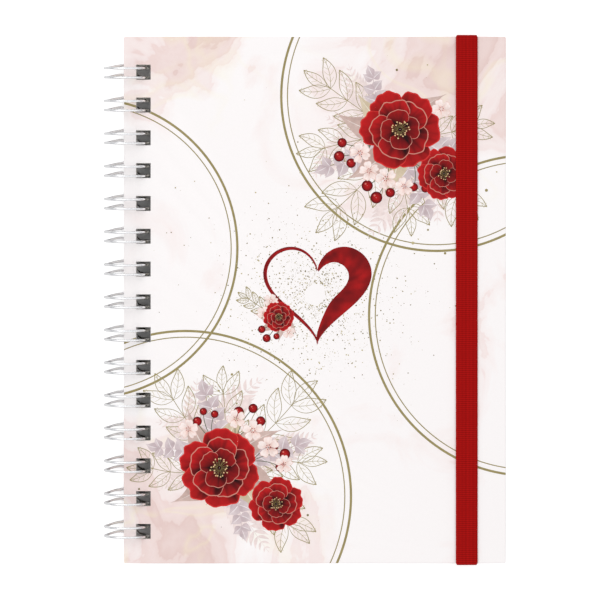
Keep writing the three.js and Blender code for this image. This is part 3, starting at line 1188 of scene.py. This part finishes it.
def drawCamellia(centre, radius, picker):
    # three rings of broad silky petals round a dark heart with a ring of stamens
    first = picker.uniform(0, 2 * math.pi)
    for ring in camelliaRings:
        drawRing(centre, first, radius, ring, picker)
    drawDisc(centre, radius * stamens["heart"], "crimsonNight", "crimsonDeep")
    for i in range(stamens["count"]):
        heading = i * 2 * math.pi / stamens["count"] + picker.uniform(-0.1, 0.1)
        head = pointAt(centre, heading, radius * picker.uniform(*stamens["reach"]))
        foot = pointAt(centre, heading, radius * stamens["foot"])
        drawStroke("flowers", bowed(foot, head, 0.05, 3), radius * stamens["thread"], "goldDark")
        drawDot("flowers", head, radius * stamens["tip"], "stamen")


def drawBlossom(centre, radius, picker):
    # a small five-petalled blossom with notched tips
    drawRing(centre, picker.uniform(0, 6), radius, blossomRing, picker)
    first = picker.uniform(0, 2 * math.pi)
    for i in range(6):
        head = pointAt(centre, first + i * 2 * math.pi / 6, radius * 0.2)
        drawDot("flowers", head, radius * 0.05, "crimson")


def drawBerries(foot, heading, length, picker):
    # a forked stem of red berries, each with a small light on it
    for turn, share in ((-0.42, 0.86), (0.0, 1.0), (0.4, 0.8)):
        head = pointAt(foot, heading + turn, length * share)
        drawStroke("flowers", bowed(foot, head, 0.08), lines["berryStem"], "stemGreen")
        size = length * picker.uniform(0.13, 0.17)
        drawDisc(head, size, "crimsonBright", "crimsonDeep")
        light = head + size * np.array([-0.3, 0.35])
        drawDisc(light, size * 0.2, "crimsonRim", "crimsonLight", sides=10)


# Leaves and fronds

def drawLeaf(foot, heading, length, width, tone, roundness=1.0, bow=0.06):
    # a leaf with a pale midrib, darker on one side of it and washed out towards the tip
    rows = 15 if length > 11 else 11
    t = (1 - np.cos(np.linspace(0, math.pi, rows))) / 2
    spine = bowed(foot, pointAt(foot, heading, length), bow, rows)
    half = width / 2 * np.sin(math.pi * t ** (0.8 / roundness)) ** (0.95 / roundness)
    half = np.maximum(half, 0.03)[:, None, None]
    rib = min(0.055, 0.25 / width)
    s = np.array([-1, -rib - 0.03, -rib, rib, rib + 0.03, 1])
    points = spine[:, None] + sidesOf(spine)[:, None] * half * s[:, None]
    dark, middle, pale = (ink(tone + depth) for depth in ("Dark", "", "Pale"))
    depth = t[:, None] * 0.75 + np.where(s > 0, 0.3, 0.0) - 0.12 * np.abs(s)
    onRib = (np.abs(s) < rib + 0.01)[None, :] & (t < 0.94)[:, None]
    addGrid("leaves", points, np.where(onRib[..., None], pale, blend(dark, middle, depth)))


def drawRoundSprig(foot, heading, length, leafSize, picker):
    # a stem with round leaves in pairs, as on eucalyptus
    count = 25
    stem = bowed(foot, pointAt(foot, heading, length), picker.uniform(-0.12, 0.12), count)
    drawStroke("leaves", stem, lines["roundStem"], "mauveDark")
    for i in range(3, count, 4):
        size = leafSize * (1.1 - 0.5 * i / (count - 1))
        for sign in (-1, 1):
            turn = headingAt(stem, i) + sign * picker.uniform(0.85, 1.15)
            drawLeaf(stem[i], turn, size, size * 0.84, "mauve", roundness=1.5)
    drawLeaf(stem[-1], heading, leafSize * 0.7, leafSize * 0.5, "mauve", roundness=1.3)


def drawFrond(foot, heading, length, picker):
    # a pale fern frond of narrow leaflets
    stem = bowed(foot, pointAt(foot, heading, length), picker.uniform(-0.18, 0.18), 31)
    drawStroke("leaves", stem[::3], lines["frondStem"], "frond")
    t = np.linspace(0, 1, 7)
    for i in range(4, 30, 2):
        reach = length * 0.24 * math.sin(math.pi * (0.2 + 0.78 * i / 30))
        widths = np.maximum(reach * 0.28 * np.sin(math.pi * t ** 0.8), 0.05)
        for sign in (-1, 1):
            head = pointAt(stem[i], headingAt(stem, i) + sign * 0.75, reach)
            drawStroke("leaves", bowed(stem[i], head, 0.08 * sign, len(t)), widths, "frond")


# Gold lines and dust

def drawGoldLeaf(foot, heading, length, width, bow=0.05):
    # an open leaf drawn in gold line: outline, midrib and a few side veins
    count = 21
    spine = bowed(foot, pointAt(foot, heading, length), bow, count)
    side = sidesOf(spine)
    half = (width / 2 * np.sin(math.pi * np.linspace(0, 1, count) ** 0.85))[:, None]
    drawStroke("gold", spine, lines["midrib"], "gold")
    for line in (spine + side * half, spine - side * half):
        drawStroke("gold", line, lines["leafEdge"], "gold")
    for i in range(4, 18, 4):
        for sign in (-1, 1):
            end = spine[i + 3] + sign * side[i] * half[i] * 0.75
            drawStroke("gold", bowed(spine[i], end, 0.05 * sign, 3), lines["vein"], "goldPale")


def drawGoldSprig(foot, heading, length, picker):
    stem = bowed(foot, pointAt(foot, heading, length), picker.uniform(-0.1, 0.1), 22)
    drawStroke("gold", stem, lines["sprigStem"], "gold")
    for i in range(5, 21, 5):
        for sign in (-1, 1):
            turn = headingAt(stem, i) + sign * 0.7
            drawGoldLeaf(stem[i], turn, length * 0.36, length * 0.15, 0.08 * sign)
    drawGoldLeaf(stem[-1], heading, length * 0.32, length * 0.13)


def drawGoldRing(centre, radius, width):
    angle = np.linspace(0, 2 * math.pi, 181)
    drawStroke("gold", around(centre, radius, angle), width, "gold")


def drawDust(patch, picker):
    # gold dust, mostly fine, with a few bigger drops
    margin, finest = 2, 0.09
    for _ in range(patch["count"]):
        heading = picker.uniform(0, 2 * math.pi)
        away = abs(picker.gauss(0, 1)) * patch["spread"] + patch["gap"]
        x, y = pointAt(patch["centre"], heading, away)
        if margin < x < page["width"] - margin and margin < y < page["height"] - margin:
            tone = picker.choice(("gold", "goldPale", "goldDark"))
            drawDot("gold", (x, y), finest + patch["largest"] * picker.random() ** 3, tone)


# The whole design

design = {
    "seed": 23,
    "rings": (((121, 181), 60), ((24, 26), 64), ((157, 96), 62), ((-14, 122), 58)),
    "ringGap": 2.4,
    "dust": (
        {"centre": (74, 104), "spread": 19, "count": 2400, "largest": 0.22, "gap": 4},
        {"centre": (108, 158), "spread": 26, "count": 110, "largest": 0.55, "gap": 0},
        {"centre": (42, 44), "spread": 26, "count": 110, "largest": 0.55, "gap": 0},
    ),
    "bunches": (                     # each flower's place is from the middle, before its radius
        {
            "middle": (107, 166), "facing": -125,
            "camellias": ((17, -15, 10.5), (0, 2, 15.5)),
            "blossoms": (
                (-15.5, -7, 4.2), (-12, -14, 4.0), (-5.5, -17, 4.4), (1.5, -20, 3.8), (16, 10, 4.0),
            ),
        },
        {
            "middle": (38, 37), "facing": 48,
            "camellias": ((21, -14, 10.5), (-1, 0, 15.5)),
            "blossoms": (
                (12, 14.5, 4.2), (18, 8, 4.4), (5.5, 19, 3.8), (24, 1.5, 3.6), (-13, 15, 4.0),
            ),
        },
    ),
    "heart": ((75, 107), 42),
    "posy": {
        "middle": (60.0, 95.5), "leaves": (2.2, 3.0, 3.8, 4.7, 5.5), "leafSize": (10, 3.6),
        "sprig": (2.6, 14), "berries": (4.2, 9.5), "camellia": 6.0,
        "blossoms": ((-5.8, 1.5, 2.7), (-3, 6.2, 2.8), (3.8, -5.8, 2.6)),
    },
}

bunch = {                            # turns from the way it faces, then lengths and widths
    "fronds": ((-1.9, 36), (-1.2, 32), (-0.5, 38), (0.3, 40), (1.0, 35), (1.7, 32), (2.6, 28)),
    "goldSprigs": ((-1.55, 34), (-0.78, 31), (-0.1, 38), (0.72, 30), (1.35, 34), (2.3, 28)),
    "roundSprigs": ((-2.1, 25, 7), (-0.55, 31, 8), (0.95, 30, 8), (2.0, 26, 7)),
    "leaves": (
        (-1.75, 24, 8, "sand"), (-1.3, 27, 9.5, "taupe"), (-0.28, 28, 10, "taupe"),
        (0.35, 25, 8, "sand"), (1.25, 27, 9.5, "taupe"), (1.7, 23, 8, "mauve"),
        (2.9, 24, 9, "taupe"),
    ),
    "berries": ((-0.62, 13), (0.25, 14), (1.05, 11)),
    "berriesFrom": 12,
}


def drawBunch(place, picker):
    # leaves and fronds behind, then the berries, blossoms and flowers in front
    middle, facing = np.array(place["middle"], float), math.radians(place["facing"])
    for turn, length in bunch["fronds"]:
        drawFrond(middle, facing + turn, length + picker.uniform(-3, 3), picker)
    for turn, length in bunch["goldSprigs"]:
        drawGoldSprig(middle, facing + turn, length, picker)
    for turn, length, size in bunch["roundSprigs"]:
        drawRoundSprig(middle, facing + turn, length, size, picker)
    for turn, length, width, tone in bunch["leaves"]:
        drawLeaf(middle, facing + turn, length, width, tone, bow=0.08)
    for turn, length in bunch["berries"]:
        foot = pointAt(middle, facing + turn, bunch["berriesFrom"])
        drawBerries(foot, facing + turn, length, picker)
    for dx, dy, radius in place["blossoms"]:
        drawBlossom(middle + (dx, dy), radius, picker)
    for dx, dy, radius in place["camellias"]:
        drawCamellia(middle + (dx, dy), radius, picker)


def drawHeart(centre, size):
    # an open heart in one brush stroke, thin on the left and swelling on the right
    t = np.linspace(0.04, 2 * math.pi - 0.04, 161)
    outline = np.stack([
        16 * np.sin(t) ** 3,
        13 * np.cos(t) - 5 * np.cos(2 * t) - 2 * np.cos(3 * t) - np.cos(4 * t),
    ], axis=1)
    swell = 0.65 + 6.4 * np.clip(np.sin(t), 0, 1) ** 1.4 + 0.5 * np.clip(-np.sin(t), 0, 1)
    towardMiddle = np.array([0, -1.5]) - outline
    towardMiddle /= np.linalg.norm(towardMiddle, axis=1)[:, None]
    direction = towardMiddle * 0.65 - sidesOf(outline) * 0.35
    u = np.linspace(0, 1, 9)[:, None]
    reach = (u * swell[None, :])[..., None]
    silk = (0.55 + 0.28 * np.sin(3.2 * t + 6 * u) + 0.25 * np.sin(9 * t - 4 * u + 1)
            + 0.16 * np.sin(21 * t + 3 * u) + 0.12 * np.sin(34 * t - 7 * u))
    colours = blend(ink("crimsonDark"), ink("crimson"), silk)
    colours = blend(colours, ink("crimsonBright"), (silk - 0.7) * 0.9)
    addGrid("flowers", np.array(centre) + size / 32 * (outline + direction * reach), colours)


def drawPosy(posy, picker):
    middle = np.array(posy["middle"])
    for turn in posy["leaves"]:
        drawLeaf(middle, turn, *posy["leafSize"], "taupe")
    drawGoldSprig(middle, *posy["sprig"], picker)
    drawBerries(middle, *posy["berries"], picker)
    for dx, dy, radius in posy["blossoms"]:
        drawBlossom(middle + (dx, dy), radius, picker)
    drawCamellia(middle, posy["camellia"], picker)


def printFrontCover():
    picker = random.Random(design["seed"])
    for centre, radius in design["rings"]:
        drawGoldRing(centre, radius, lines["ring"])
        drawGoldRing(centre, radius - design["ringGap"], lines["innerRing"])
    for patch in design["dust"]:
        drawDust(patch, picker)
    for place in design["bunches"]:
        drawBunch(place, picker)
    drawHeart(*design["heart"])
    drawPosy(design["posy"], picker)
    cutPage()
    layFlat()


printFrontCover()
print("cover printed")
